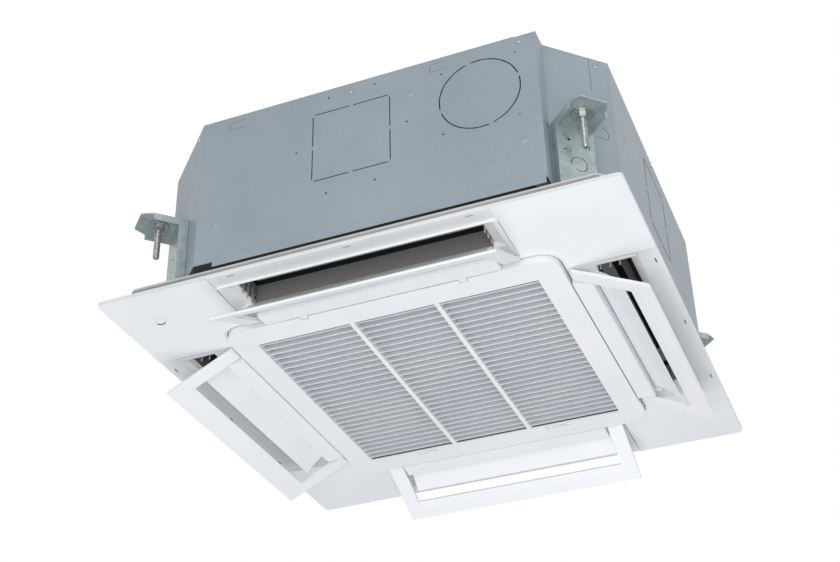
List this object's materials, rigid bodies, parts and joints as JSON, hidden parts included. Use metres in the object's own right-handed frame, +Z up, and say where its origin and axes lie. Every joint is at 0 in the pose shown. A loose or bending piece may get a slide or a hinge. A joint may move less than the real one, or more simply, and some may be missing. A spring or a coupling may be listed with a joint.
{
  "type": "ceiling cassette air conditioner",
  "caption": "Ceiling cassette air conditioner: chamfered sheet-steel casing on hanging brackets, square panel, drop-down intake grille, and a flap with a draught frame on each side.",
  "frame": {"origin": "middle of the panel rim's upper face, in the plane of the ceiling that the unit hangs above", "axes": "+Z up, +X and +Y along the panel's sides; the intake grille's slats run along X and its hinge is on the -Y side"},
  "size_m": [0.95, 0.95, 0.4514],
  "materials": {
    "casing_steel": "satin",
    "bracket_steel": "satin",
    "bolt_steel": "satin",
    "white_plastic": "satin",
    "lid_plastic": "satin",
    "grey_plastic": "matte",
    "dark_plastic": "matte",
    "black_foam": "matte",
    "grey_foam": "matte",
    "aluminium": "satin",
    "copper": "satin"
  },
  "bodies": {
    "unit": {"casing_top": "casing_steel", "casing_wall_near": "casing_steel", "casing_wall_right": "casing_steel", "casing_wall_far": "casing_steel", "casing_wall_left": "casing_steel", "corner_plate_far_right": "casing_steel", "corner_plate_far_left": "casing_steel", "corner_plate_near_left": "casing_steel", "corner_plate_near_right": "casing_steel", "hanger_bracket_far_right": "bracket_steel", "hanger_bracket_far_left": "bracket_steel", "hanger_bracket_near_left": "bracket_steel", "hanger_bracket_near_right": "bracket_steel", "hanger_bolt_far_right": "bolt_steel", "hanger_bolt_far_left": "bolt_steel", "hanger_bolt_near_left": "bolt_steel", "hanger_bolt_near_right": "bolt_steel", "hanger_nut_far_right": "bolt_steel", "hanger_nut_far_left": "bolt_steel", "hanger_nut_near_left": "bolt_steel", "hanger_nut_near_right": "bolt_steel", "panel_body": "white_plastic", "panel_band": "white_plastic", "corner_lid_far_right": "lid_plastic", "corner_lid_far_left": "lid_plastic", "corner_lid_near_left": "lid_plastic", "corner_lid_near_right": "lid_plastic", "receiver_window": "grey_plastic", "bell_mouth": "grey_plastic", "flap_drive_right": "dark_plastic", "flap_drive_far": "dark_plastic", "flap_drive_left": "dark_plastic", "flap_drive_near": "dark_plastic", "fan_motor": "dark_plastic", "drain_pump": "dark_plastic", "drain_socket": "dark_plastic", "wiring_gland": "dark_plastic", "casing_gasket": "black_foam", "insulation_liner": "grey_foam", "drain_pan": "grey_foam", "heat_exchanger": "aluminium", "gas_pipe": "copper", "liquid_pipe": "copper", "control_box": "casing_steel", "control_box_lid": "casing_steel"},
    "fan": {"turbo_fan": "grey_plastic", "motor_shaft": "bolt_steel"},
    "grille": {"intake_grille": "white_plastic"},
    "latch_left": {"grille_latch_left": "white_plastic"},
    "latch_right": {"grille_latch_right": "white_plastic"},
    "filter": {"air_filter": "grey_plastic"},
    "flap_right": {"flap_right": "white_plastic"},
    "frame_right": {"draught_frame_right": "white_plastic"},
    "flap_far": {"flap_far": "white_plastic"},
    "frame_far": {"draught_frame_far": "white_plastic"},
    "flap_left": {"flap_left": "white_plastic"},
    "frame_left": {"draught_frame_left": "white_plastic"},
    "flap_near": {"flap_near": "white_plastic"},
    "frame_near": {"draught_frame_near": "white_plastic"}
  },
  "joints": [
    {"name": "fan_spin", "type": "hinge", "parent": "unit", "child": "fan", "pos_m": [0, 0, 0.2], "axis": [0, 0, 1], "continuous": true},
    {"name": "grille_swing", "type": "hinge", "parent": "unit", "child": "grille", "pos_m": [0, -0.311, -0.0175], "axis": [-1, 0, 0], "range_deg": [0, 90]},
    {"name": "latch_left_slide", "type": "slide", "parent": "grille", "child": "latch_left", "axis": [0, -1, 0], "range_m": [0, 0.006]},
    {"name": "latch_right_slide", "type": "slide", "parent": "grille", "child": "latch_right", "axis": [0, -1, 0], "range_m": [0, 0.006]},
    {"name": "filter_lift", "type": "slide", "parent": "grille", "child": "filter", "axis": [0, 0, 1], "range_m": [0, 0.014]},
    {"name": "flap_right_swing", "type": "hinge", "parent": "unit", "child": "flap_right", "pos_m": [0.356, 0, 0], "axis": [0, 1, 0], "range_deg": [-34, 31]},
    {"name": "frame_right_swing", "type": "hinge", "parent": "unit", "child": "frame_right", "pos_m": [0.326, 0, -0.0055], "axis": [0, 1, 0], "range_deg": [-26, 9]},
    {"name": "flap_far_swing", "type": "hinge", "parent": "unit", "child": "flap_far", "pos_m": [0, 0.356, 0], "axis": [-1, 0, 0], "range_deg": [-34, 31]},
    {"name": "frame_far_swing", "type": "hinge", "parent": "unit", "child": "frame_far", "pos_m": [0, 0.326, -0.0055], "axis": [-1, 0, 0], "range_deg": [-26, 9]},
    {"name": "flap_left_swing", "type": "hinge", "parent": "unit", "child": "flap_left", "pos_m": [-0.356, 0, 0], "axis": [0, -1, 0], "range_deg": [-34, 31]},
    {"name": "frame_left_swing", "type": "hinge", "parent": "unit", "child": "frame_left", "pos_m": [-0.326, 0, -0.0055], "axis": [0, -1, 0], "range_deg": [-26, 9]},
    {"name": "flap_near_swing", "type": "hinge", "parent": "unit", "child": "flap_near", "pos_m": [0, -0.356, 0], "axis": [1, 0, 0], "range_deg": [-34, 31]},
    {"name": "frame_near_swing", "type": "hinge", "parent": "unit", "child": "frame_near", "pos_m": [0, -0.326, -0.0055], "axis": [1, 0, 0], "range_deg": [-26, 9]}
  ]
}
